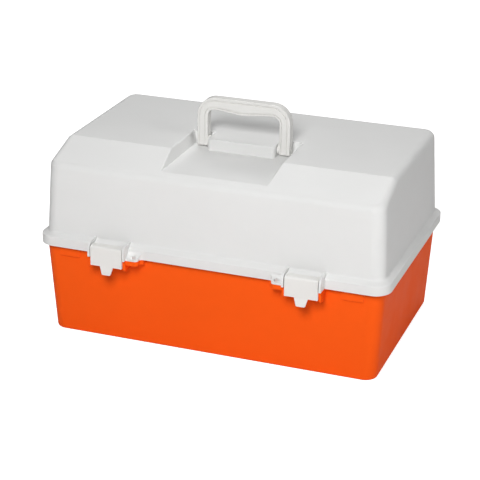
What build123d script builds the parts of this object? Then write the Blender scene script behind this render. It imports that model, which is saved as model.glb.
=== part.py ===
from build123d import *
import os
from math import atan2, cos, degrees, hypot, radians, sin

# Tackle box with a cantilever tray rack. Millimetres. X runs to the right, Y to the back, Z up.
# The origin is the centre of the underside of the base.

# ---- Outside sizes -------------------------------------------------------------------------
SKIRT_W, SKIRT_D = 430.0, 264.0        # skirt round the lid's mouth
LID_FOOT_W, LID_FOOT_D = 416.4, 249.0  # lid wall where it leaves the skirt's shelf
LID_TOP_W, LID_TOP_D = 406.0, 239.0    # lid wall at the top
BASE_W, BASE_D = 403.4, 244.6          # base at its underside
RIM_W, RIM_D = 416.4, 253.0            # base at the parting plane
PART_Z = 111.5                         # parting plane between base and lid
SKIRT_Z = 122.5                        # top of the skirt's upright face
FOOT_Z = 127.0                         # top of the skirt's sloping shelf
LID_Z = 229.0                          # lid top
SLOPE_Z = 210.7                        # front edge of the sloping panel
SLOPE_Y = -66.0                        # where the sloping panel meets the flat top
RIM_Z = 119.0                          # top edge of the base wall, inside the skirt

# ---- Wall thicknesses, corner radii and gaps ------------------------------------------------
BASE_T, LID_T, SKIRT_T = 2.8, 2.5, 2.2
FLOOR_T = 3.0
BASE_R, LID_R, SKIRT_R = 15.0, 15.0, 20.0
FOOT_R, LID_EDGE_R = 3.0, 9.0          # round edges of the base's underside and of the lid's top
SHELF_R, SKIRT_EDGE_R = 3.0, 1.0       # round edges at the inside and the outside of the skirt's shelf
RIM_LIP_H, RIM_LIP = 3.0, 1.5          # lip round the base wall's top edge
GAP = 0.2                              # between a lid piece and the base piece it closes on
ROOT_Y = -120.0                        # features on the front walls start inside them
FAR = 150.0                            # cutting shapes reach this far past the part
NEAR = 0.01                            # edges this close to a plane count as in it

# ---- Handle and the recess it folds into ----------------------------------------------------
WELL_Z = 214.9                         # floor of the recess
WELL_W, WELL_TOP_W = 128.6, 137.4      # recess width at its floor and at the lid top
WELL_Y, WELL_TOP_Y = 3.5, 7.0          # rear wall of the recess at its floor and at the lid top
WELL_R, WELL_RIM_R = 2.0, 2.4           # round uprights, and round edge along the top of a side wall
BLOCK_W, BLOCK_Y, BLOCK_R = 84.4, -20.0, 5.0
BLOCK_EDGE_R = 1.5                     # round edges of the block's top
BLOCK_REAR_Y = 14.0                    # the block ends inside the lid top, behind the recess
HANDLE_W, HANDLE_IN_W, HANDLE_D = 116.0, 90.0, 12.0
HANDLE_Z, GRIP_Z, GRIP_SAG = 277.5, 262.7, 3.2
HANDLE_R, HANDLE_IN_R = 22.5, 8.0
HANDLE_BEAD, HANDLE_IN_BEAD = 2.8, 2.2  # widths of the beads along the two edges of a face
GROOVE_W, GROOVE_D, HANDLE_EDGE_R = 1.4, 1.2, 0.9
FOOT_ROUND_R = 7.4                     # round end of a foot, which turns just above the recess floor
HANDLE_Y = -5.0                        # fold axis and middle of the handle
PIVOT_Z = 222.5
HANDLE_BOSS_X, TRUNNION_X = 42.7, 38.4  # inner ends of a foot's boss and of its trunnion
TRUNNION_R, TRUNNION_HOLE_R = 2.5, 2.56

# ---- Latches, their ears on the lid and the keepers on the base -----------------------------
LATCH_X, LATCH_HALF = 119.2, 19.7
LATCH_Y, LATCH_T = -144.5, 2.1         # outer face and thickness of the latch plate
LATCH_Z0, LATCH_Z1 = 101.2, 125.7
LATCH_R, LATCH_BACK_Y, CHEEK_T, BARREL_R = 3.5, -134.5, 2.5, 3.2
LATCH_RIB, LATCH_RIB_W = 0.4, 1.8      # raised ribs down the plate's side edges
TAB_Z, TAB_TOP_W, TAB_END_W, TAB_LEAN = 91.2, 16.2, 10.0, 8.0
TAB_R, LATCH_CORNER_R = 1.5, 0.8       # round corners of the tab's end and of the plate's foot
EAR_IN, EAR_OUT = 20.6, 23.2           # faces of an ear, from the latch's middle
EAR_Y, EAR_Z, EAR_R = -145.5, 128.5, 8.0
STUB_Y, STUB_Z, STUB_R, STUB_HOLE_R = -138.8, 121.1, 1.75, 1.81
STUB_END, STUB_HOLE_END = 21.9, 22.2   # ends of a stub and of its hole, from the latch's middle
KEEPER_Y, KEEPER_Z, KEEPER_R = -142.2, 98.0, 1.8
KEEPER_IN, KEEPER_TOP_T = 20.4, 2.2    # inner face of a keeper's cheek; thickness of its top
CATCH_T, CATCH_H = 3.0, 6.2
LOCK_OUT, LOCK_Y, LOCK_R, LOCK_FLARE_R = 37.7, -141.3, 4.5, 4.0
LOCK_T, LOCK_BASE_T = 2.0, 5.5          # lid tab at its edge, and base tab
LOCK_SCOOP_R = 10.0                    # hollow that carries the lid tab up to the skirt
LOCK_HOLE_X, LOCK_HOLE_Y, LOCK_HOLE_R = 87.2, -136.2, 2.5
PAD_X, PAD_W, PAD_H = 174.2, 26.0, 11.6
PAD_Y, PAD_T, PAD_R, PAD_DROP = -127.4, 3.0, 2.0, 0.5

# ---- Lid hinge: two stations on the back wall -----------------------------------------------
HINGE_Y, HINGE_Z = 137.0, 111.5
HINGE_X, KNUCKLE_R, PIN_R = 120.0, 4.6, 2.0
KNUCKLE_HOLE_R, LID_KNUCKLE_HOLE_R = 2.03, 2.06
LID_KNUCKLE_HALF, BASE_KNUCKLE_IN, BASE_KNUCKLE_OUT = 10.0, 10.3, 26.0
WEB_FOOT_Z, HEEL = 95.5, 10.0          # foot of a knuckle's web; reach of the heel that stops the lid
WEB_ROOT_Y, HINGE_CLEAR = 124.5, 0.3   # webs start inside the base wall, clear of the parting plane
LID_OPEN = 105.0                       # full opening, degrees

# ---- Tray rack: both arms turn with the lid, so the trays stay level ------------------------
REACH_Y, REACH_Z = -130.0, 52.0        # from a lower pivot to the upper tray's pivot
LOWER_SHARE = 0.5                      # the lower tray hangs half-way along the arms
SCREW_SHARES = (0.31, 0.75)            # screws that hold a lid arm to the lid's end wall
BASE_ARM_Y, BASE_ARM_Z = 35.0, 111.5
ARM_X, ARM_T, ARM_R = 193.3, 2.0, 7.0  # inner face, thickness, half width
ARM_GAP, RIVET_PLAY = 0.3, 0.05        # arm to boss; rivet head to the arm it holds
BOSS_R, LID_BOSS_R, LID_BOSS_X = 7.0, 5.5, 206.0
RIVET_R, RIVET_HOLE_R, RIVET_RUN_R, RIVET_HEAD_R, RIVET_HEAD_T = 2.5, 2.53, 2.56, 4.2, 1.4
RIVET_IN, RIVET_HOLE = 5.5, 6.0        # a base arm's rivet and its hole run this far into the boss
SCREW_R, SCREW_HOLE_R, SCREW_HEAD_R, SCREW_HEAD_T = 2.0, 2.03, 4.2, 1.8
SCREW_IN, SCREW_HOLE = 6.0, 7.0        # the same for a screw and its hole
HEAD_MIN_R, HEAD_EDGE_R = 3.0, 0.5     # circles wider than this are head rims, and are rounded
CROSS_L, CROSS_W, CROSS_D = 4.4, 0.9, 1.1  # cross recess of a screw

# ---- Trays ----------------------------------------------------------------------------------
TRAY_HALF_W, TRAY_T, TRAY_R = 190.0, 2.0, 8.0
LOWER_Y, LOWER_Z = (-115.0, 112.0), (114.5, 153.5)
UPPER_Y, UPPER_Z = (-112.0, 33.0), (156.0, 196.5)
LOWER_WALL_Y, UPPER_WALL_Y = 0.0, -40.0  # lengthwise wall of each tray
TRAY_FOOT_R = 3.0
LEDGE_YS, LEDGE_X, LEDGE_T, LEDGE_FOOT_Z = (-75.0, 80.0), 184.0, 3.0, 71.5
LEDGE_H, TRAY_PLAY = 8.0, 0.4          # ledges in the base carry the lower tray's ends
LEDGE_ROOT_X, LEDGE_FOOT_X = 206.2, 203.5
DIVIDER_T, DIVIDER_PLAY, DIVIDER_R = 1.6, 0.3, 4.0
SLOT_PITCH, SLOT_COUNT = 46.5, 7
SLOT_RIB_W, SLOT_RIB_D = 1.2, 1.8
SLOT_RIB_X = DIVIDER_T / 2 + 0.2 + SLOT_RIB_W / 2
SLOT_XS = [(i - SLOT_COUNT // 2) * SLOT_PITCH for i in range(SLOT_COUNT)]
SLOT_DROP = 2.0                        # ribs, inner walls and dividers stop below the tray's edge

os.makedirs("parts", exist_ok=True)


def along(z, z0, value0, z1, value1):
    """Value at height z on the straight line from (z0, value0) to (z1, value1)."""
    return value0 + (value1 - value0) * (z - z0) / (z1 - z0)


def tapered(*sections):
    """Solid lofted through rounded rectangles, given as (z, width, depth, corner radius)."""
    with BuildPart() as solid:
        for z, width, depth, r in sections:
            with BuildSketch(Plane.XY.offset(z)):
                RectangleRounded(width, depth, r)
        loft(ruled=True)
    return solid.part


def profile(*points):
    """Closed straight-sided outline."""
    with BuildSketch() as outline:
        with BuildLine():
            Polyline(*points, close=True)
        make_face()
    return outline.sketch


def finish(builder, name):
    """Labels a finished piece and writes its STEP file."""
    builder.part.label = name
    export_step(builder.part, f"parts/{name}.step")


def arm_point(y, z, share):
    """Point a given share of the way along an arm that starts at (y, z)."""
    return y + REACH_Y * share, z + REACH_Z * share


# Pivots of the trays, as (y, z): on the lid arms and on the base arms.
LOWER_LID_PIVOT = arm_point(HINGE_Y, HINGE_Z, LOWER_SHARE)
UPPER_LID_PIVOT = arm_point(HINGE_Y, HINGE_Z, 1.0)
LOWER_BASE_PIVOT = arm_point(BASE_ARM_Y, BASE_ARM_Z, LOWER_SHARE)
UPPER_BASE_PIVOT = arm_point(BASE_ARM_Y, BASE_ARM_Z, 1.0)
SCREWS = [arm_point(HINGE_Y, HINGE_Z, share) for share in SCREW_SHARES]


# ---- Base -----------------------------------------------------------------------------------
def lock_plan(side):
    """Plan of a padlock tab, beside the ear nearer the middle of the box, with its hole."""
    near, far = side * (LATCH_X - EAR_OUT + 1), side * (LATCH_X - LOCK_OUT)
    corner, flare = side * LOCK_R, side * LOCK_FLARE_R
    skirt_y = -SKIRT_D / 2
    with BuildSketch() as plan:
        with BuildLine():
            RadiusArc((far + corner, LOCK_Y), (far, LOCK_Y + LOCK_R), corner)
            Line((far, LOCK_Y + LOCK_R), (far, skirt_y - LOCK_FLARE_R))
            RadiusArc((far, skirt_y - LOCK_FLARE_R), (far - flare, skirt_y), -flare)
            Polyline(
                (far - flare, skirt_y), (far - flare, ROOT_Y), (near, ROOT_Y), (near, LOCK_Y),
                (far + corner, LOCK_Y),
            )
        make_face()
        with Locations((side * LOCK_HOLE_X, LOCK_HOLE_Y)):
            Circle(LOCK_HOLE_R, mode=Mode.SUBTRACT)
    return plan.sketch


lock_plans = [lock_plan(side) for side in (-1, 1)]
floor_w = along(FLOOR_T, 0, BASE_W, PART_Z, RIM_W) - 2 * BASE_T
floor_d = along(FLOOR_T, 0, BASE_D, PART_Z, RIM_D) - 2 * BASE_T
mouth_w, mouth_d = RIM_W - 2 * BASE_T, RIM_D - 2 * BASE_T
base_outside = tapered(
    (0, BASE_W, BASE_D, BASE_R), (PART_Z, RIM_W, RIM_D, BASE_R), (RIM_Z, RIM_W, RIM_D, BASE_R),
)
base_inside = tapered(
    (FLOOR_T, floor_w, floor_d, BASE_R - BASE_T), (PART_Z, mouth_w, mouth_d, BASE_R - BASE_T),
    (RIM_Z + 1, mouth_w, mouth_d, BASE_R - BASE_T),
)
keeper_top = PART_Z - GAP
keeper_depth = ROOT_Y - KEEPER_Y
keeper_mid_y = (ROOT_Y + KEEPER_Y) / 2
stop_lean = radians(LID_OPEN - 90)
knuckle_web = profile(
    (WEB_ROOT_Y + 1.5, WEB_FOOT_Z), (HINGE_Y, HINGE_Z - KNUCKLE_R), (HINGE_Y + HEEL, HINGE_Z - 1),
    (HINGE_Y + HEEL, HINGE_Z + (KNUCKLE_R - HEEL * sin(stop_lean)) / cos(stop_lean)),
    (HINGE_Y + KNUCKLE_R * sin(stop_lean), HINGE_Z + KNUCKLE_R * cos(stop_lean)),
    (HINGE_Y - KNUCKLE_R + 0.2, HINGE_Z - HINGE_CLEAR), (WEB_ROOT_Y, HINGE_Z - HINGE_CLEAR),
    (WEB_ROOT_Y, WEB_FOOT_Z),
)
boss_face = ARM_X + ARM_T + ARM_GAP
ledge = profile(
    (LEDGE_X, LOWER_Z[0] - TRAY_PLAY), (LEDGE_ROOT_X, LOWER_Z[0] - TRAY_PLAY),
    (LEDGE_FOOT_X, LEDGE_FOOT_Z), (LEDGE_X, LOWER_Z[0] - LEDGE_H),
)

with BuildPart() as base:
    add(base_outside)
    fillet(base.faces().sort_by(Axis.Z)[0].edges(), FOOT_R)
    with BuildSketch(Plane.XY.offset(RIM_Z)):
        RectangleRounded(RIM_W + 2 * RIM_LIP, RIM_D + 2 * RIM_LIP, BASE_R + RIM_LIP)
    extrude(amount=-RIM_LIP_H)
    for side, plan in zip((-1, 1), lock_plans):
        # Keeper under a latch: two cheeks, a top web and a catch bar.
        with BuildSketch(Plane.XY.offset(keeper_top)):
            for edge in (-1, 1):
                with Locations((side * LATCH_X + edge * (KEEPER_IN + EAR_OUT) / 2, keeper_mid_y)):
                    Rectangle(EAR_OUT - KEEPER_IN, keeper_depth)
        extrude(amount=KEEPER_Z - keeper_top)
        feet = base.edges().filter_by_position(Axis.Z, KEEPER_Z - NEAR, KEEPER_Z + NEAR)
        fillet(feet.filter_by_position(Axis.Y, KEEPER_Y - NEAR, KEEPER_Y + NEAR), KEEPER_R)
        with BuildSketch(Plane.XY.offset(keeper_top)):
            with Locations((side * LATCH_X, keeper_mid_y)):
                Rectangle(2 * KEEPER_IN + 1, keeper_depth)
        extrude(amount=-KEEPER_TOP_T)
        with BuildSketch(Plane.XY.offset(keeper_top)):
            with Locations((side * LATCH_X, KEEPER_Y + CATCH_T / 2)):
                Rectangle(2 * KEEPER_IN + 1, CATCH_T)
        extrude(amount=-CATCH_H)
        with BuildSketch(Plane.XY.offset(keeper_top)):
            add(plan)
        extrude(amount=-LOCK_BASE_T)
        # Raised pad under the skirt.
        with BuildSketch(Plane.XZ.offset(-PAD_Y)):
            with Locations((side * PAD_X, PART_Z - PAD_DROP - PAD_H / 2)):
                RectangleRounded(PAD_W, PAD_H, PAD_R)
        extrude(amount=-PAD_T)
        # Hinge knuckles, each with a heel that stops the open lid.
        for start in (-BASE_KNUCKLE_OUT, BASE_KNUCKLE_IN):
            with BuildSketch(Plane.YZ.offset(side * HINGE_X + start)):
                add(knuckle_web)
                with Locations((HINGE_Y, HINGE_Z)):
                    Circle(KNUCKLE_R)
                    Circle(KNUCKLE_HOLE_R, mode=Mode.SUBTRACT)
            extrude(amount=BASE_KNUCKLE_OUT - BASE_KNUCKLE_IN)
    add(base_inside, mode=Mode.SUBTRACT)
    for side in (-1, 1):
        # Pivot boss for a base arm, with the rivet's blind hole.
        with BuildSketch(Plane.YZ.offset(side * boss_face)):
            with Locations((BASE_ARM_Y, BASE_ARM_Z)):
                Circle(BOSS_R)
        extrude(amount=side * (RIM_W / 2 - 1 - boss_face))
        with BuildSketch(Plane.YZ.offset(side * boss_face)):
            with Locations((BASE_ARM_Y, BASE_ARM_Z)):
                Circle(RIVET_HOLE_R)
        extrude(amount=side * RIVET_HOLE, mode=Mode.SUBTRACT)
        # Ledges that carry the ends of the lower tray.
        for y in LEDGE_YS:
            with BuildSketch(Plane.XZ.offset(-y)):
                add(ledge if side > 0 else mirror(ledge, about=Plane.YZ))
            extrude(amount=LEDGE_T / 2, both=True)
finish(base, "base")


# ---- Lid ------------------------------------------------------------------------------------
front_y = -along(SLOPE_Z, FOOT_Z, LID_FOOT_D, LID_Z, LID_TOP_D) / 2
slope = atan2(LID_Z - SLOPE_Z, SLOPE_Y - front_y)


def lid_upper(inset, foot_z, edge_r):
    """Lid above its shelf, with every wall moved in by inset: tapered box, sloping front panel."""
    top_z = LID_Z - inset
    dy, dz = inset * sin(slope), -inset * cos(slope)
    rise = FAR * (LID_Z - SLOPE_Z) / (SLOPE_Y - front_y)
    panel = profile(
        (SLOPE_Y + dy - FAR, LID_Z + dz - rise), (SLOPE_Y + dy + FAR, LID_Z + dz + rise),
        (SLOPE_Y - FAR, LID_Z + 2 * rise),
    )
    with BuildPart() as upper:
        with BuildSketch(Plane.XY.offset(foot_z)):
            RectangleRounded(LID_FOOT_W - 2 * inset, LID_FOOT_D - 2 * inset, LID_R - inset)
        with BuildSketch(Plane.XY.offset(top_z)):
            RectangleRounded(LID_TOP_W - 2 * inset, LID_TOP_D - 2 * inset, LID_R - inset)
        loft(ruled=True)
        with BuildSketch(Plane.YZ):
            add(panel)
        extrude(amount=LID_FOOT_W, both=True, mode=Mode.SUBTRACT)
        rims = upper.edges().filter_by(lambda e: e.bounding_box().min.Z > SLOPE_Z - 1.6 * LID_T)
        crease = rims.filter_by(Axis.X).filter_by_position(Axis.Y, SLOPE_Y - 9, SLOPE_Y + 9)
        fillet(rims - crease, edge_r)
    return upper.part


def well_solid(grow):
    """Recess that the handle folds into, with its side, rear and floor walls moved out by grow."""
    with BuildPart() as well:
        for z, width, rear_y in (
            (WELL_Z - grow, WELL_W + 2 * grow, WELL_Y + grow),
            (LID_Z + 1, WELL_TOP_W + 2 * grow, WELL_TOP_Y + grow),
        ):
            with BuildSketch(Plane.XY.offset(z)):
                with Locations((0, (rear_y - FAR) / 2)):
                    Rectangle(width, rear_y + FAR)
        loft(ruled=True)
        uprights = well.edges().filter_by(lambda e: e.bounding_box().size.Z > 10 and e.center().Y > 0)
        fillet(uprights, WELL_R)
    return well.part


def rim_cutter(side):
    """Cuts the round edge along the top of one side wall of the recess, and on down the slope."""
    run = (SLOPE_Y - front_y) / (LID_Z - SLOPE_Z)
    low_z = WELL_Z - WELL_RIM_R
    points = []
    for y, z in ((WELL_TOP_Y, LID_Z), (SLOPE_Y, LID_Z), (SLOPE_Y - (LID_Z - low_z) * run, low_z)):
        wall_x = along(z - WELL_RIM_R, WELL_Z, WELL_W, LID_Z + 1, WELL_TOP_W) / 2
        points.append(Vector(side * wall_x, y, z))
    with BuildPart() as cutter:
        for start, end in zip(points[::side], points[::side][1:]):
            with BuildSketch(Plane(origin=start, x_dir=(side, 0, 0), z_dir=end - start)):
                with Locations((-WELL_RIM_R, -WELL_RIM_R)):
                    Rectangle(2 * WELL_RIM_R, WELL_RIM_R + 1, align=(Align.MIN, Align.MIN))
                with Locations((WELL_RIM_R, -WELL_RIM_R)):
                    Circle(WELL_RIM_R, mode=Mode.SUBTRACT)
            extrude(amount=(end - start).length)
        with BuildSketch(Plane.XY.offset(WELL_Z)):
            Rectangle(FAR * 2, FAR * 2)
        extrude(amount=-FAR, mode=Mode.SUBTRACT)
    return cutter.part


def block_solid(inset):
    """Block between the handle's feet, flush with the lid top."""
    with BuildPart() as middle:
        with BuildSketch(Plane.XY.offset(WELL_Z - LID_T - 1)):
            with Locations((0, (BLOCK_Y + inset + BLOCK_REAR_Y) / 2)):
                Rectangle(BLOCK_W - 2 * inset, BLOCK_REAR_Y - BLOCK_Y - inset)
        extrude(amount=LID_Z - inset - WELL_Z + LID_T + 1)
        front = middle.faces().sort_by(Axis.Y)[0]
        fillet(front.edges().filter_by(Axis.Z), BLOCK_R - inset)
        top_edges = middle.faces().sort_by(Axis.Z)[-1].edges()
        fillet(top_edges - top_edges.sort_by(Axis.Y)[-1:], BLOCK_EDGE_R)
    return middle.part


def ear_profile():
    """Side view of an ear."""
    with BuildSketch() as outline:
        with BuildLine():
            Polyline(
                (EAR_Y, EAR_Z - EAR_R), (EAR_Y, PART_Z), (ROOT_Y, PART_Z), (ROOT_Y, EAR_Z),
                (EAR_Y + EAR_R, EAR_Z),
            )
            RadiusArc((EAR_Y + EAR_R, EAR_Z), (EAR_Y, EAR_Z - EAR_R), -EAR_R)
        make_face()
    return outline.sketch


def lock_tab(plan):
    """Lid's padlock tab: thin at its edge and hollowed up to the skirt."""
    with BuildPart() as tab:
        with BuildSketch(Plane.XY.offset(PART_Z)):
            add(plan)
        extrude(amount=SKIRT_Z - PART_Z - 1.5)
        with BuildSketch(Plane.YZ):
            with Locations((LOCK_Y, PART_Z + LOCK_T + LOCK_SCOOP_R)):
                Circle(LOCK_SCOOP_R)
        extrude(amount=LATCH_X, both=True, mode=Mode.SUBTRACT)
    return tab.part


shelf_under_z = SKIRT_Z - SKIRT_T
upper_under_z = FOOT_Z - SKIRT_T
skirt_outside = tapered(
    (PART_Z, SKIRT_W, SKIRT_D, SKIRT_R), (SKIRT_Z, SKIRT_W, SKIRT_D, SKIRT_R),
    (FOOT_Z, LID_FOOT_W, LID_FOOT_D, LID_R),
)
skirt_in_w, skirt_in_d = SKIRT_W - 2 * SKIRT_T, SKIRT_D - 2 * SKIRT_T
skirt_inside = tapered(
    (PART_Z - 1, skirt_in_w, skirt_in_d, SKIRT_R - SKIRT_T),
    (shelf_under_z, skirt_in_w, skirt_in_d, SKIRT_R - SKIRT_T),
    (upper_under_z, LID_FOOT_W - 2 * LID_T, LID_FOOT_D - 2 * LID_T, LID_R - LID_T),
)
upper_outside = lid_upper(0, FOOT_Z, LID_EDGE_R)
upper_inside = lid_upper(LID_T, upper_under_z, LID_EDGE_R - LID_T)
well_outside, well_liner = well_solid(0), well_solid(LID_T)
rim_cutters = [rim_cutter(side) for side in (-1, 1)]
block_outside, block_inside = block_solid(0), block_solid(LID_T)
ear_outline = ear_profile()
lock_tabs = [lock_tab(plan) for plan in lock_plans]
lid_knuckle_web = profile(
    (HINGE_Y - 7, HINGE_Z + HINGE_CLEAR), (HINGE_Y - 7, HINGE_Z + 10), (HINGE_Y - 4.8, HINGE_Z + 10),
    (HINGE_Y + 3.2, HINGE_Z + 3.3), (HINGE_Y, HINGE_Z - 1), (HINGE_Y - 4.4, HINGE_Z + HINGE_CLEAR),
)

with BuildPart() as lid:
    add(upper_outside)
    add(skirt_outside)
    fillet(lid.edges().filter_by_position(Axis.Z, FOOT_Z - NEAR, FOOT_Z + NEAR), SHELF_R)
    fillet(lid.edges().filter_by_position(Axis.Z, SKIRT_Z - NEAR, SKIRT_Z + NEAR), SKIRT_EDGE_R)
    add(well_outside, mode=Mode.SUBTRACT)
    for rim in rim_cutters:
        add(rim, mode=Mode.SUBTRACT)
    add(block_outside)
    for side, tab in zip((-1, 1), lock_tabs):
        for edge in (-1, 1):
            # Ear: it joins the shelf and carries a latch stub.
            with BuildSketch(Plane.YZ.offset(side * LATCH_X + edge * EAR_IN)):
                add(ear_outline)
            extrude(amount=edge * (EAR_OUT - EAR_IN))
        add(tab)
        # Hinge knuckle on the back of the skirt.
        with BuildSketch(Plane.YZ.offset(side * HINGE_X)):
            add(lid_knuckle_web)
            with Locations((HINGE_Y, HINGE_Z)):
                Circle(KNUCKLE_R)
                Circle(LID_KNUCKLE_HOLE_R, mode=Mode.SUBTRACT)
        extrude(amount=LID_KNUCKLE_HALF, both=True)
    add(skirt_inside, mode=Mode.SUBTRACT)
    add(upper_inside - well_liner + block_inside, mode=Mode.SUBTRACT)
    for side in (-1, 1):
        for edge in (-1, 1):
            # Blind hole for a latch stub.
            with BuildSketch(Plane.YZ.offset(side * LATCH_X + edge * EAR_IN)):
                with Locations((STUB_Y, STUB_Z)):
                    Circle(STUB_HOLE_R)
            extrude(amount=edge * (STUB_HOLE_END - EAR_IN), mode=Mode.SUBTRACT)
        # Handle bore through the side of the block.
        with BuildSketch(Plane.YZ.offset(side * (BLOCK_W / 2 + 1))):
            with Locations((HANDLE_Y, PIVOT_Z)):
                Circle(TRUNNION_HOLE_R)
        extrude(amount=-side * (LID_T + 2), mode=Mode.SUBTRACT)
        # Screw bosses for a lid arm.
        with BuildSketch(Plane.YZ.offset(side * boss_face)):
            with Locations(*SCREWS):
                Circle(LID_BOSS_R)
        extrude(amount=side * (LID_BOSS_X - boss_face))
        with BuildSketch(Plane.YZ.offset(side * boss_face)):
            with Locations(*SCREWS):
                Circle(SCREW_HOLE_R)
        extrude(amount=side * SCREW_HOLE, mode=Mode.SUBTRACT)
finish(lid, "lid")


# ---- Handle ---------------------------------------------------------------------------------
def handle_outline(inset):
    """Front view of the handle's outside, moved in by inset; it runs down past the feet."""
    height = HANDLE_Z - inset - HANDLE_FOOT_Z
    with BuildSketch() as outline:
        with Locations((0, HANDLE_FOOT_Z + height / 2)):
            Rectangle(HANDLE_W - 2 * inset, height)
        fillet(outline.vertices().group_by(Axis.Y)[-1], HANDLE_R - inset)
    return outline.sketch


def handle_opening(grow):
    """Front view of the hand opening, with its edge moved out by grow and a sagging grip."""
    half, top = HANDLE_IN_W / 2 + grow, GRIP_Z + grow
    corner, foot = HANDLE_IN_R + grow, HANDLE_FOOT_Z - 1
    with BuildSketch() as outline:
        with BuildLine():
            Line((-half, foot), (-half, top - corner))
            RadiusArc((-half, top - corner), (-half + corner, top), corner)
            Spline(
                (-half + corner, top), (0, top - GRIP_SAG), (half - corner, top),
                tangents=[(1, 0), (1, 0)],
            )
            RadiusArc((half - corner, top), (half, top - corner), corner)
            Polyline((half, top - corner), (half, foot), (-half, foot))
        make_face()
    return outline.sketch


HANDLE_FOOT_Z = PIVOT_Z - FOOT_ROUND_R
handle_outside, hand_opening = handle_outline(0), handle_opening(0)
grooves = [
    handle_outline(HANDLE_BEAD) - handle_outline(HANDLE_BEAD + GROOVE_W),
    handle_opening(HANDLE_IN_BEAD + GROOVE_W) - handle_opening(HANDLE_IN_BEAD),
]

with BuildPart() as handle:
    with BuildSketch(Plane.XZ.offset(-HANDLE_Y)):
        add(handle_outside)
        add(hand_opening, mode=Mode.SUBTRACT)
    extrude(amount=HANDLE_D / 2, both=True)
    # Side view: flat faces down to the round ends of the feet.
    with BuildSketch(Plane.YZ):
        with Locations((HANDLE_Y, (HANDLE_Z + PIVOT_Z) / 2)):
            Rectangle(2 * FOOT_ROUND_R, HANDLE_Z - PIVOT_Z + NEAR)
        with Locations((HANDLE_Y, PIVOT_Z)):
            Circle(FOOT_ROUND_R)
    extrude(amount=HANDLE_W, both=True, mode=Mode.INTERSECT)
    outline_edges = handle.edges().filter_by(lambda e: e.bounding_box().size.Y < NEAR)
    fillet(outline_edges.filter_by(lambda e: e.bounding_box().size.Z > NEAR), HANDLE_EDGE_R)
    # Grooves inside the beads, on the front and on the rear face.
    for face_y, inward in ((HANDLE_Y - HANDLE_D / 2, -1), (HANDLE_Y + HANDLE_D / 2, 1)):
        with BuildSketch(Plane.XZ.offset(-face_y)):
            for groove in grooves:
                add(groove)
        extrude(amount=inward * GROOVE_D, mode=Mode.SUBTRACT)
    for side in (-1, 1):
        # Inner boss and trunnion.
        for start, end, r in (
            (HANDLE_IN_W / 2, HANDLE_BOSS_X, HANDLE_D / 2),
            (HANDLE_BOSS_X, TRUNNION_X, TRUNNION_R),
        ):
            with BuildSketch(Plane.YZ.offset(side * start)):
                with Locations((HANDLE_Y, PIVOT_Z)):
                    Circle(r)
            extrude(amount=side * (end - start))
finish(handle, "handle")


# ---- Latches --------------------------------------------------------------------------------
def latch_hull():
    """Side view of the latch: plate, top and the barrel line it turns on."""
    with BuildSketch() as outline:
        with BuildLine():
            Line((LATCH_Y, LATCH_Z0), (LATCH_Y, LATCH_Z1 - LATCH_R))
            RadiusArc((LATCH_Y, LATCH_Z1 - LATCH_R), (LATCH_Y + LATCH_R, LATCH_Z1), LATCH_R)
            Polyline(
                (LATCH_Y + LATCH_R, LATCH_Z1), (LATCH_BACK_Y, LATCH_Z1),
                (LATCH_BACK_Y, LATCH_Z1 - LATCH_T), (LATCH_Y + LATCH_T + 1.5, LATCH_Z1 - LATCH_T),
                (LATCH_Y + LATCH_T, LATCH_Z1 - LATCH_T - 1.5), (LATCH_Y + LATCH_T, LATCH_Z0),
                (LATCH_Y, LATCH_Z0),
            )
        make_face()
    return outline.sketch


def latch_cheek():
    """Side view of an end cheek: plate edge to barrel."""
    with BuildSketch() as outline:
        with BuildLine():
            Polyline(
                (LATCH_Y + 1, STUB_Z - 8), (LATCH_Y + LATCH_T, STUB_Z - 8), (STUB_Y, STUB_Z - BARREL_R),
                (STUB_Y, LATCH_Z1 - 1), (LATCH_Y + 1, LATCH_Z1 - 3), close=True,
            )
        make_face()
        with Locations((STUB_Y, STUB_Z)):
            Circle(BARREL_R)
    return outline.sketch


def latch_tab():
    """Side view of the finger tab, which leans outwards."""
    out_y = LATCH_Y - (LATCH_Z0 - TAB_Z) * sin(radians(TAB_LEAN))
    return profile(
        (LATCH_Y, LATCH_Z0), (out_y, TAB_Z), (out_y + LATCH_T, TAB_Z), (LATCH_Y + LATCH_T, LATCH_Z0),
    )


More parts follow.
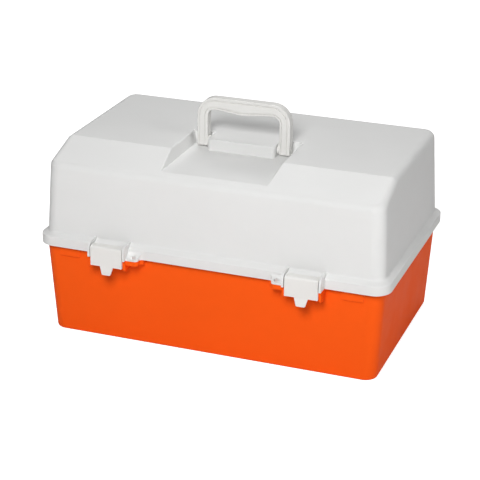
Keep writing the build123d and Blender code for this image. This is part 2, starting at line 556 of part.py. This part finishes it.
def latch_part():
    """Latch centred on x = 0."""
    hull, cheek, tab = latch_hull(), latch_cheek(), latch_tab()
    with BuildPart() as latch:
        with BuildSketch(Plane.YZ):
            add(hull)
        extrude(amount=LATCH_HALF, both=True)
        # Raised ribs down both side edges.
        rib_top = LATCH_Z1 - LATCH_R
        for side in (-1, 1):
            with BuildSketch(Plane.XZ.offset(-LATCH_Y)):
                with Locations((side * (LATCH_HALF - LATCH_RIB_W / 2), (LATCH_Z0 + rib_top) / 2)):
                    Rectangle(LATCH_RIB_W, rib_top - LATCH_Z0)
            extrude(amount=LATCH_RIB)
            with BuildSketch(Plane.YZ.offset(side * LATCH_HALF)):
                add(cheek)
            extrude(amount=-side * CHEEK_T)
            with BuildSketch(Plane.YZ.offset(side * (LATCH_HALF - CHEEK_T))):
                with Locations((STUB_Y, STUB_Z)):
                    Circle(STUB_R)
            extrude(amount=side * (STUB_END - LATCH_HALF + CHEEK_T))
        # Finger tab, narrower towards its end.
        with BuildSketch(Plane.YZ):
            add(tab)
        extrude(amount=TAB_TOP_W / 2, both=True)
        for side in (-1, 1):
            with BuildSketch(Plane.XZ.offset(-LATCH_Y)):
                with BuildLine():
                    Polyline(
                        (side * TAB_TOP_W / 2, LATCH_Z0), (side * TAB_END_W / 2, TAB_Z - 1),
                        (side * TAB_TOP_W, TAB_Z - 1), (side * TAB_TOP_W, LATCH_Z0), close=True,
                    )
                make_face()
            extrude(amount=6, both=True, mode=Mode.SUBTRACT)
        tab_ends = latch.edges().filter_by_position(Axis.Z, TAB_Z - NEAR, TAB_Z + NEAR)
        fillet(tab_ends.filter_by(lambda e: e.bounding_box().size.X < NEAR), TAB_R)
        feet = latch.edges().filter_by_position(Axis.Z, LATCH_Z0 - NEAR, LATCH_Z0 + NEAR)
        fillet(feet.filter_by(lambda e: abs(e.center().X) > LATCH_HALF - NEAR), LATCH_CORNER_R)
    return latch.part


latch = latch_part()
for name, side in (("latch_left", -1), ("latch_right", 1)):
    with BuildPart() as placed:
        with Locations((side * LATCH_X, 0, 0)):
            add(latch)
    finish(placed, name)


# ---- Hinge pins -----------------------------------------------------------------------------
for name, side in (("hinge_pin_left", -1), ("hinge_pin_right", 1)):
    with BuildPart() as pin:
        with BuildSketch(Plane.YZ.offset(side * HINGE_X)):
            with Locations((HINGE_Y, HINGE_Z)):
                Circle(PIN_R)
        extrude(amount=BASE_KNUCKLE_OUT, both=True)
        chamfer(pin.edges().filter_by(GeomType.CIRCLE), 0.4)
    finish(pin, name)


# ---- Rack arms ------------------------------------------------------------------------------
def strip(start, end, half_width):
    """Flat bar with round ends between two points."""
    length = hypot(end[0] - start[0], end[1] - start[1])
    angle = degrees(atan2(end[1] - start[1], end[0] - start[0]))
    middle = ((start[0] + end[0]) / 2, (start[1] + end[1]) / 2)
    with BuildSketch() as outline:
        with Locations(Location((middle[0], middle[1], 0), (0, 0, angle))):
            SlotCenterToCenter(length, 2 * half_width)
    return outline.sketch


lid_strip = strip(SCREWS[0], UPPER_LID_PIVOT, ARM_R)
base_strip = strip((BASE_ARM_Y, BASE_ARM_Z), UPPER_BASE_PIVOT, ARM_R)
arms = (
    ("lid_arm", lid_strip, SCREWS, SCREW_HOLE_R, (LOWER_LID_PIVOT, UPPER_LID_PIVOT)),
    ("base_arm", base_strip, (), 0, ((BASE_ARM_Y, BASE_ARM_Z), LOWER_BASE_PIVOT, UPPER_BASE_PIVOT)),
)
for label, outline, fixed, fixed_r, pivots in arms:
    for name, side in ((label + "_left", -1), (label + "_right", 1)):
        with BuildPart() as arm:
            with BuildSketch(Plane.YZ.offset(side * ARM_X)):
                add(outline)
                with Locations(*pivots):
                    Circle(RIVET_RUN_R, mode=Mode.SUBTRACT)
                for point in fixed:
                    with Locations(point):
                        Circle(fixed_r, mode=Mode.SUBTRACT)
            extrude(amount=side * ARM_T)
        finish(arm, name)


# ---- Rivets and screws ----------------------------------------------------------------------
def fasteners(name, points, sections, cross_x=None):
    """Turned pins along X on both sides, each a stack of (start x, end x, radius).

    Pins with a cross_x are screws, with a cross recess in the head face at that x.
    """
    with BuildPart() as turned:
        for side in (-1, 1):
            for start, end, r in sections:
                with BuildSketch(Plane.YZ.offset(side * start)):
                    with Locations(*points):
                        Circle(r)
                extrude(amount=side * (end - start))
        rims = turned.edges().filter_by(GeomType.CIRCLE).filter_by(lambda e: e.radius > HEAD_MIN_R)
        fillet(rims, HEAD_EDGE_R)
        if cross_x:
            for side in (-1, 1):
                with BuildSketch(Plane.YZ.offset(side * cross_x)):
                    with Locations(*points):
                        Rectangle(CROSS_L, CROSS_W)
                        Rectangle(CROSS_W, CROSS_L)
                extrude(amount=side * CROSS_D, mode=Mode.SUBTRACT)
    finish(turned, name)


arm_in, arm_out = ARM_X - RIVET_PLAY, ARM_X + ARM_T + RIVET_PLAY
tray_in = TRAY_HALF_W - TRAY_T
tray_rivet = (
    (tray_in - RIVET_HEAD_T, tray_in, RIVET_HEAD_R), (tray_in, arm_out, RIVET_R),
    (arm_out, arm_out + RIVET_HEAD_T, RIVET_HEAD_R),
)
arm_rivet = (
    (arm_in - RIVET_HEAD_T, arm_in, RIVET_HEAD_R), (arm_in, boss_face + RIVET_IN, RIVET_R),
)
arm_screw = (
    (ARM_X - SCREW_HEAD_T, ARM_X, SCREW_HEAD_R), (ARM_X, boss_face + SCREW_IN, SCREW_R),
)
fasteners("lower_tray_rivets", (LOWER_LID_PIVOT, LOWER_BASE_PIVOT), tray_rivet)
fasteners("upper_tray_rivets", (UPPER_LID_PIVOT, UPPER_BASE_PIVOT), tray_rivet)
fasteners("base_arm_rivets", ((BASE_ARM_Y, BASE_ARM_Z),), arm_rivet)
fasteners("lid_arm_screws", SCREWS, arm_screw, ARM_X - SCREW_HEAD_T)


# ---- Trays and dividers ---------------------------------------------------------------------
def tray_part(y_range, z_range, wall_y, pivots):
    """Open tray with a lengthwise wall, divider slots and a boss at each rack pivot."""
    (y0, y1), (z0, z1) = y_range, z_range
    middle = (y0 + y1) / 2
    rows = ((y0 + TRAY_T, wall_y - TRAY_T / 2), (wall_y + TRAY_T / 2, y1 - TRAY_T))
    with BuildPart() as tray:
        with BuildSketch(Plane.XY.offset(z0)):
            with Locations((0, middle)):
                RectangleRounded(2 * TRAY_HALF_W, y1 - y0, TRAY_R)
        extrude(amount=z1 - z0)
        fillet(tray.faces().sort_by(Axis.Z)[0].edges(), TRAY_FOOT_R)
        for side in (-1, 1):
            with BuildSketch(Plane.YZ.offset(side * (TRAY_HALF_W - 1))):
                with Locations(*pivots):
                    Circle(BOSS_R)
            extrude(amount=side * 4)
        with BuildSketch(Plane.XY.offset(z0 + TRAY_T)):
            with Locations((0, middle)):
                RectangleRounded(2 * (TRAY_HALF_W - TRAY_T), y1 - y0 - 2 * TRAY_T, TRAY_R - TRAY_T)
        extrude(amount=z1 - z0, mode=Mode.SUBTRACT)
        with BuildSketch(Plane.XY.offset(z0 + TRAY_T)):
            with Locations((0, wall_y)):
                Rectangle(2 * (TRAY_HALF_W - TRAY_T), TRAY_T)
            # Pairs of ribs hold a divider between them.
            for row_y0, row_y1 in rows:
                for edge_y, inward in ((row_y0, 1), (row_y1, -1)):
                    for x in SLOT_XS:
                        for rib in (-1, 1):
                            with Locations((x + rib * SLOT_RIB_X, edge_y + inward * SLOT_RIB_D / 2)):
                                Rectangle(SLOT_RIB_W, SLOT_RIB_D)
        extrude(amount=z1 - z0 - TRAY_T - SLOT_DROP)
        for side in (-1, 1):
            with BuildSketch(Plane.YZ.offset(side * (TRAY_HALF_W - TRAY_T - 1))):
                with Locations(*pivots):
                    Circle(RIVET_HOLE_R)
            extrude(amount=side * 8, mode=Mode.SUBTRACT)
    return tray


def divider_part(x, y0, y1, z0, z1):
    """Removable divider with round top corners, held in one pair of slots."""
    with BuildPart() as divider:
        with BuildSketch(Plane.YZ.offset(x)):
            with Locations(((y0 + y1) / 2, (z0 + z1) / 2)):
                Rectangle(y1 - y0 - 2 * DIVIDER_PLAY, z1 - z0)
        extrude(amount=DIVIDER_T / 2, both=True)
        fillet(divider.faces().sort_by(Axis.Z)[-1].edges().filter_by(Axis.X), DIVIDER_R)
    return divider


TRAYS = (
    ("lower", LOWER_Y, LOWER_Z, LOWER_WALL_Y, (LOWER_LID_PIVOT, LOWER_BASE_PIVOT), ((-2, 2), (1,))),
    ("upper", UPPER_Y, UPPER_Z, UPPER_WALL_Y, (UPPER_LID_PIVOT, UPPER_BASE_PIVOT), ((-2, 0, 2), (-1, 2))),
)
for label, y_range, z_range, wall_y, pivots, chosen in TRAYS:
    finish(tray_part(y_range, z_range, wall_y, pivots), label + "_tray")
    front_row = (y_range[0] + TRAY_T, wall_y - TRAY_T / 2)
    rear_row = (wall_y + TRAY_T / 2, y_range[1] - TRAY_T)
    for row, (y0, y1), slots in (("front", front_row, chosen[0]), ("rear", rear_row, chosen[1])):
        for number, slot in enumerate(slots, 1):
            divider = divider_part(
                slot * SLOT_PITCH, y0, y1, z_range[0] + TRAY_T, z_range[1] - SLOT_DROP,
            )
            finish(divider, label + "_divider_" + row + "_" + str(number))
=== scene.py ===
"""Fishing tackle box: looks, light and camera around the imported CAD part.

Metres, Z up, front towards -Y. Every CAD node keeps its own shape. This script gives the nodes
their materials, and adds the floor, the lamps, the sky and the camera.
"""

import math

import bpy
from mathutils import Matrix, Vector

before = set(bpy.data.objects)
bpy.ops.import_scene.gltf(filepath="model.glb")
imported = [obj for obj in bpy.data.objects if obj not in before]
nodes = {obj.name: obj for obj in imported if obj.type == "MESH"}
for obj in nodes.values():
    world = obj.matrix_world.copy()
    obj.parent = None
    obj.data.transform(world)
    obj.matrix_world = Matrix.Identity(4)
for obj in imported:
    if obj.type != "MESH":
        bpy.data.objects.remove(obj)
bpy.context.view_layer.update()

# ---- Camera -----------------------------------------------------------------------------------
CAMERA_AT = Vector((0.6041, -1.6652, 0.8339))
CAMERA_YAW, CAMERA_PITCH, CAMERA_ROLL = 20.14, -22.57, 0.54  # degrees
CAMERA_LENS, SENSOR_W = 117.9, 36.0                          # millimetres

# ---- Light ------------------------------------------------------------------------------------
AIM = Vector((0.0, -0.03, 0.12))     # the middle of the box, where every lamp points
LAMPS = (
    # name, azimuth from the front (negative is to the left), elevation, distance, size, watts
    ("key_softbox", 9.0, 39.5, 1.7, 0.62, 22.1),
    ("side_softbox", 85.0, 18.0, 2.0, 0.80, 8.6),
    ("rear_softbox", 197.0, 54.0, 2.0, 1.20, 16.2),
)
SKY_STRENGTH, SKY_SEEN = 0.03, 1.0   # what lights the box, and what the lens sees past the floor
FLOOR_REACH = 5.0                    # from the middle of the box to each side of the floor
FLOOR_GLOW = 0.80, 1.0               # beside the box, and far from it
FLOOR_GLOW_AT = 0.7, 1.7             # metres from the origin, under the box, where those are reached

# ---- Colours (linear), each with the colour that its worn edges turn to -----------------------
WHITE = (1.0, 1.0, 1.0, 1.0)
ORANGE, ORANGE_WORN = (0.960, 0.108, 0.0080), (0.960, 0.190, 0.040)
LID_WHITE, LID_WORN = (0.768, 0.769, 0.760), (0.86, 0.86, 0.85)
TRIM_WHITE, TRIM_WORN = (0.800, 0.792, 0.768), (0.88, 0.87, 0.84)
TRAY_GREY, TRAY_WORN = (0.560, 0.570, 0.560), (0.72, 0.73, 0.72)
DIVIDER_GREY, DIVIDER_WORN = (0.640, 0.650, 0.640), (0.78, 0.79, 0.78)
ZINC, ZINC_WORN = (0.600, 0.610, 0.620), (0.78, 0.78, 0.78)
FLOOR = (0.86, 0.86, 0.86)

# ---- Plastic ----------------------------------------------------------------------------------
# Noise scales are per metre. A range holds the noise values that become 0 and 1.
CLOUD = {"scale": 7.0, "detail": 3.0}                        # slow change of tone over a wall
FLOW = {"scale": 16.0, "detail": 3.0, "rough": 0.6}          # marks left by the melt
FLOW_STRETCH, FLOW_SHARE = (1.0, 1.0, 3.0), 0.5              # drawn out level
TONE_RANGE, TONE_DARK = (0.45, 1.05), 0.965
SCUFF = {"scale": 90.0, "detail": 5.0, "rough": 0.7}         # faint rub marks
SCUFF_STRETCH, SCUFF_RANGE = (1.0, 1.0, 0.25), (0.66, 0.78)  # drawn out upright
SCUFF_PALE, SCUFF_POLISH = 0.05, 0.05                        # towards the worn colour, off roughness
PATCH = {"scale": 45.0, "detail": 3.0}                       # which stretches of an edge are worn
PATCH_RANGE, EDGE_WEAR = (0.35, 0.70), 0.30
SHEEN = {"scale": 25.0, "detail": 4.0}                       # duller and glossier places
SHEEN_RANGE, SHEEN_SWING = (0.3, 0.7), (-0.05, 0.06)         # the swing is added to the roughness
RIPPLE = {"scale": 190.0, "detail": 2.0}                     # slight unevenness of a moulded face
RIPPLE_TO_GRAIN, RIPPLE_STRENGTH = 1.2, 0.5                  # ripple depth over grain depth
GRAIN = {"scale": 1500.0, "detail": 3.0, "rough": 0.6}       # texture of the spark-eroded mould
GRAIN_STRENGTH = 0.8
GRAIN_COARSE, GRAIN_FINE = 0.00003, 0.00002                  # depths in metres
EDGE_R, EDGE_R_FINE = 0.0006, 0.00025                        # rounding shaded over sharp edges
PLASTIC_IOR = 1.49

# ---- Zinc plate -------------------------------------------------------------------------------
BLOTCH = {"scale": 120.0, "detail": 4.0, "rough": 0.6}       # uneven plating
BLOTCH_RANGE, BLOTCH_DARK = (0.35, 0.7), 0.82
BRUSH = {"scale": 900.0, "detail": 2.0, "rough": 0.5}        # fine lines of the rolled sheet
BRUSH_STRETCH, BRUSH_DEPTH, BRUSH_STRENGTH = (1.0, 0.08, 0.4), 0.00001, 0.6
ZINC_EDGE_R, ZINC_EDGE_WEAR = 0.0003, 0.35
ZINC_ROUGH = 0.30, 0.44              # where the blotch noise is 0, and where it is 1

# ---- Floor ------------------------------------------------------------------------------------
FLOOR_NOISE = {"scale": 3.0, "detail": 3.0}
FLOOR_NOISE_RANGE, FLOOR_DARK = (0.3, 0.7), 0.985
FLOOR_ROUGH, FLOOR_SHINE = 0.9, 0.1

# ---- Sharp edges ------------------------------------------------------------------------------
EDGE_SAMPLES = 6
EDGE_RANGE = 0.995, 0.85             # cosines of the normal's turn where an edge begins, and is full


# ---- Materials --------------------------------------------------------------------------------
def shaded(colour, share):
    return tuple(channel * share for channel in colour)


class Nodes:
    """A material's node tree, with short calls to add and join nodes."""

    def __init__(self, name):
        self.material = bpy.data.materials.new(name)
        self.material.use_nodes = True
        self.tree = self.material.node_tree
        self.tree.nodes.clear()
        self.out = self.add("ShaderNodeOutputMaterial")
        self.place = self.add("ShaderNodeTexCoord").outputs["Object"]

    def add(self, kind, **settings):
        node = self.tree.nodes.new(kind)
        for key, value in settings.items():
            setattr(node, key, value)
        return node

    def join(self, source, target):
        """Link an output to an input, or set the input when the source is a plain value."""
        if isinstance(source, (int, float, tuple)):
            target.default_value = source
        else:
            self.tree.links.new(source, target)

    def stretched(self, x, y, z):
        mapping = self.add("ShaderNodeMapping")
        self.join(self.place, mapping.inputs["Vector"])
        mapping.inputs["Scale"].default_value = (x, y, z)
        return mapping.outputs["Vector"]

    def noise(self, scale, detail, rough=0.5, place=None):
        node = self.add("ShaderNodeTexNoise")
        self.join(place or self.place, node.inputs["Vector"])
        node.inputs["Scale"].default_value = scale
        node.inputs["Detail"].default_value = detail
        node.inputs["Roughness"].default_value = rough
        return node.outputs["Fac"]

    def spread(self, value, low, high, to_low=0.0, to_high=1.0):
        node = self.add("ShaderNodeMapRange")
        self.join(value, node.inputs["Value"])
        self.join(low, node.inputs["From Min"])
        self.join(high, node.inputs["From Max"])
        self.join(to_low, node.inputs["To Min"])
        self.join(to_high, node.inputs["To Max"])
        return node.outputs["Result"]

    def math(self, operation, a, b):
        node = self.add("ShaderNodeMath", operation=operation)
        self.join(a, node.inputs[0])
        self.join(b, node.inputs[1])
        return node.outputs[0]

    def mix(self, share, a, b):
        """Colour a where share is 0, and b where it is 1."""
        node = self.add("ShaderNodeMix", data_type="RGBA")
        share_in, a_in, b_in, mixed = node.inputs[0], node.inputs[6], node.inputs[7], node.outputs[2]
        self.join(share, share_in)
        for colour, target in ((a, a_in), (b, b_in)):
            self.join((*colour, 1.0) if isinstance(colour, tuple) else colour, target)
        return mixed

    def bump(self, height, distance, strength, normal):
        node = self.add("ShaderNodeBump")
        node.inputs["Strength"].default_value = strength
        node.inputs["Distance"].default_value = distance
        self.join(height, node.inputs["Height"])
        self.join(normal, node.inputs["Normal"])
        return node.outputs["Normal"]

    def edge(self, radius):
        """(normal rounded over sharp edges, how near a point is to such an edge from 0 to 1)"""
        bevel = self.add("ShaderNodeBevel", samples=EDGE_SAMPLES)
        bevel.inputs["Radius"].default_value = radius
        geometry = self.add("ShaderNodeNewGeometry")
        dot = self.add("ShaderNodeVectorMath", operation="DOT_PRODUCT")
        self.join(bevel.outputs["Normal"], dot.inputs[0])
        self.join(geometry.outputs["Normal"], dot.inputs[1])
        return bevel.outputs["Normal"], self.spread(dot.outputs["Value"], *EDGE_RANGE)

    def surface(self, colour, rough, normal, **settings):
        """The finished material. A setting's underscores stand for the spaces in its socket's name."""
        shader = self.add("ShaderNodeBsdfPrincipled")
        self.join(colour, shader.inputs["Base Color"])
        self.join(rough, shader.inputs["Roughness"])
        self.join(normal, shader.inputs["Normal"])
        for name, value in settings.items():
            shader.inputs[name.replace("_", " ")].default_value = value
        self.join(shader.outputs["BSDF"], self.out.inputs["Surface"])
        return self.material


def moulded_plastic(name, colour, worn, rough, shine, grain=GRAIN_FINE, edge_radius=EDGE_R):
    """Injection-moulded plastic: fine grain, faint flow marks, scuffs and paler edges.

    Shine is the specular level, and grain is a depth in metres.
    """
    n = Nodes(name)
    edge_normal, edge = n.edge(edge_radius)

    flow = n.noise(**FLOW, place=n.stretched(*FLOW_STRETCH))
    tone = n.math("ADD", n.noise(**CLOUD), n.math("MULTIPLY", flow, FLOW_SHARE))
    base = n.mix(n.spread(tone, *TONE_RANGE), shaded(colour, TONE_DARK), colour)

    scuff = n.spread(n.noise(**SCUFF, place=n.stretched(*SCUFF_STRETCH)), *SCUFF_RANGE)
    patch = n.spread(n.noise(**PATCH), *PATCH_RANGE)
    wear = n.math("MULTIPLY", n.math("MULTIPLY", edge, patch), EDGE_WEAR)
    base = n.mix(n.math("MAXIMUM", wear, n.math("MULTIPLY", scuff, SCUFF_PALE)), base, worn)

    swing = [rough + change for change in SHEEN_SWING]
    gloss = n.spread(n.noise(**SHEEN), *SHEEN_RANGE, *swing)
    gloss = n.math("SUBTRACT", gloss, n.math("MULTIPLY", scuff, SCUFF_POLISH))

    normal = n.bump(n.noise(**RIPPLE), grain * RIPPLE_TO_GRAIN, RIPPLE_STRENGTH, edge_normal)
    normal = n.bump(n.noise(**GRAIN), grain, GRAIN_STRENGTH, normal)
    return n.surface(base, gloss, normal, IOR=PLASTIC_IOR, Specular_IOR_Level=shine)


def zinc_steel(name):
    """Bright zinc plate on pressed steel: brushed one way, with faint blotches and paler edges."""
    n = Nodes(name)
    edge_normal, edge = n.edge(ZINC_EDGE_R)
    blotch = n.spread(n.noise(**BLOTCH), *BLOTCH_RANGE)
    base = n.mix(blotch, shaded(ZINC, BLOTCH_DARK), ZINC)
    base = n.mix(n.math("MULTIPLY", edge, ZINC_EDGE_WEAR), base, ZINC_WORN)
    brush = n.noise(**BRUSH, place=n.stretched(*BRUSH_STRETCH))
    normal = n.bump(brush, BRUSH_DEPTH, BRUSH_STRENGTH, edge_normal)
    rough = n.spread(blotch, 0.0, 1.0, *ZINC_ROUGH)
    return n.surface(base, rough, normal, Metallic=1.0)


def studio_floor(name):
    """Pale matt sweep. Its glow is for the lens only, so it lights nothing, and hides the horizon."""
    n = Nodes(name)
    tone = n.spread(n.noise(**FLOOR_NOISE), *FLOOR_NOISE_RANGE)
    shader = n.add("ShaderNodeBsdfPrincipled")
    n.join(n.mix(tone, shaded(FLOOR, FLOOR_DARK), FLOOR), shader.inputs["Base Color"])
    shader.inputs["Roughness"].default_value = FLOOR_ROUGH
    shader.inputs["Specular IOR Level"].default_value = FLOOR_SHINE
    seen = n.add("ShaderNodeLightPath").outputs["Is Camera Ray"]
    away = n.add("ShaderNodeVectorMath", operation="LENGTH")
    n.join(n.place, away.inputs[0])
    glow = n.spread(away.outputs["Value"], *FLOOR_GLOW_AT, *FLOOR_GLOW)
    shader.inputs["Emission Color"].default_value = WHITE
    n.join(n.math("MULTIPLY", seen, glow), shader.inputs["Emission Strength"])
    n.join(shader.outputs["BSDF"], n.out.inputs["Surface"])
    return n.material


orange = moulded_plastic(
    "orange_plastic", ORANGE, ORANGE_WORN, rough=0.50, shine=0.04, grain=GRAIN_COARSE,
)
lid_white = moulded_plastic(
    "lid_white_plastic", LID_WHITE, LID_WORN, rough=0.48, shine=0.24, grain=GRAIN_COARSE,
)
trim_white = moulded_plastic(
    "trim_white_plastic", TRIM_WHITE, TRIM_WORN, rough=0.40, shine=0.40, edge_radius=EDGE_R_FINE,
)
tray_grey = moulded_plastic("tray_plastic", TRAY_GREY, TRAY_WORN, rough=0.38, shine=0.40)
divider_grey = moulded_plastic(
    "divider_plastic", DIVIDER_GREY, DIVIDER_WORN, rough=0.36, shine=0.40,
)
zinc = zinc_steel("zinc_steel")

finishes = {
    "base": orange,
    "lid": lid_white,
    "handle": trim_white,
    "latch_left": trim_white,
    "latch_right": trim_white,
    "lower_tray": tray_grey,
    "upper_tray": tray_grey,
}
for name, piece in nodes.items():
    usual = divider_grey if "divider" in name else zinc  # what is left is pins, arms, rivets, screws
    for slot in piece.material_slots:
        slot.material = finishes.get(name, usual)

# ---- Floor, lamps, sky and camera -------------------------------------------------------------
floor_mesh = bpy.data.meshes.new("studio_floor")
corners = [(FLOOR_REACH * x, FLOOR_REACH * y, 0.0) for x, y in ((-1, -1), (1, -1), (1, 1), (-1, 1))]
floor_mesh.from_pydata(corners, [], [(0, 1, 2, 3)])
floor = bpy.data.objects.new("studio_floor", floor_mesh)
bpy.context.scene.collection.objects.link(floor)
floor.data.materials.append(studio_floor("studio_floor"))

for name, azimuth, elevation, distance, size, watts in LAMPS:
    turn, rise = math.radians(azimuth), math.radians(elevation)
    level = math.cos(rise)
    toward = Vector((math.sin(turn) * level, -math.cos(turn) * level, math.sin(rise)))
    data = bpy.data.lights.new(name, "AREA")
    data.shape, data.size, data.energy = "SQUARE", size, watts
    lamp = bpy.data.objects.new(name, data)
    lamp.location = AIM + toward * distance
    lamp.rotation_euler = toward.to_track_quat("Z", "Y").to_euler()
    bpy.context.scene.collection.objects.link(lamp)

world = bpy.data.worlds.new("studio")
world.use_nodes = True
sky = world.node_tree
background = sky.nodes["Background"]
background.inputs["Color"].default_value = WHITE
sky_path = sky.nodes.new("ShaderNodeLightPath")
sky_level = sky.nodes.new("ShaderNodeMapRange")
sky_level.inputs["To Min"].default_value = SKY_STRENGTH
sky_level.inputs["To Max"].default_value = SKY_SEEN
sky.links.new(sky_path.outputs["Is Camera Ray"], sky_level.inputs["Value"])
sky.links.new(sky_level.outputs["Result"], background.inputs["Strength"])
bpy.context.scene.world = world

camera_data = bpy.data.cameras.new("camera")
camera_data.lens, camera_data.sensor_width = CAMERA_LENS, SENSOR_W
camera = bpy.data.objects.new("camera", camera_data)
camera.matrix_world = (
    Matrix.Translation(CAMERA_AT)
    @ Matrix.Rotation(math.radians(CAMERA_YAW), 4, "Z")
    @ Matrix.Rotation(math.radians(90.0 + CAMERA_PITCH), 4, "X")
    @ Matrix.Rotation(math.radians(CAMERA_ROLL), 4, "Z")
)
bpy.context.scene.collection.objects.link(camera)
bpy.context.scene.camera = camera

view = bpy.context.scene.view_settings
view.view_transform, view.look, view.exposure, view.gamma = "Standard", "None", 0.0, 1.0
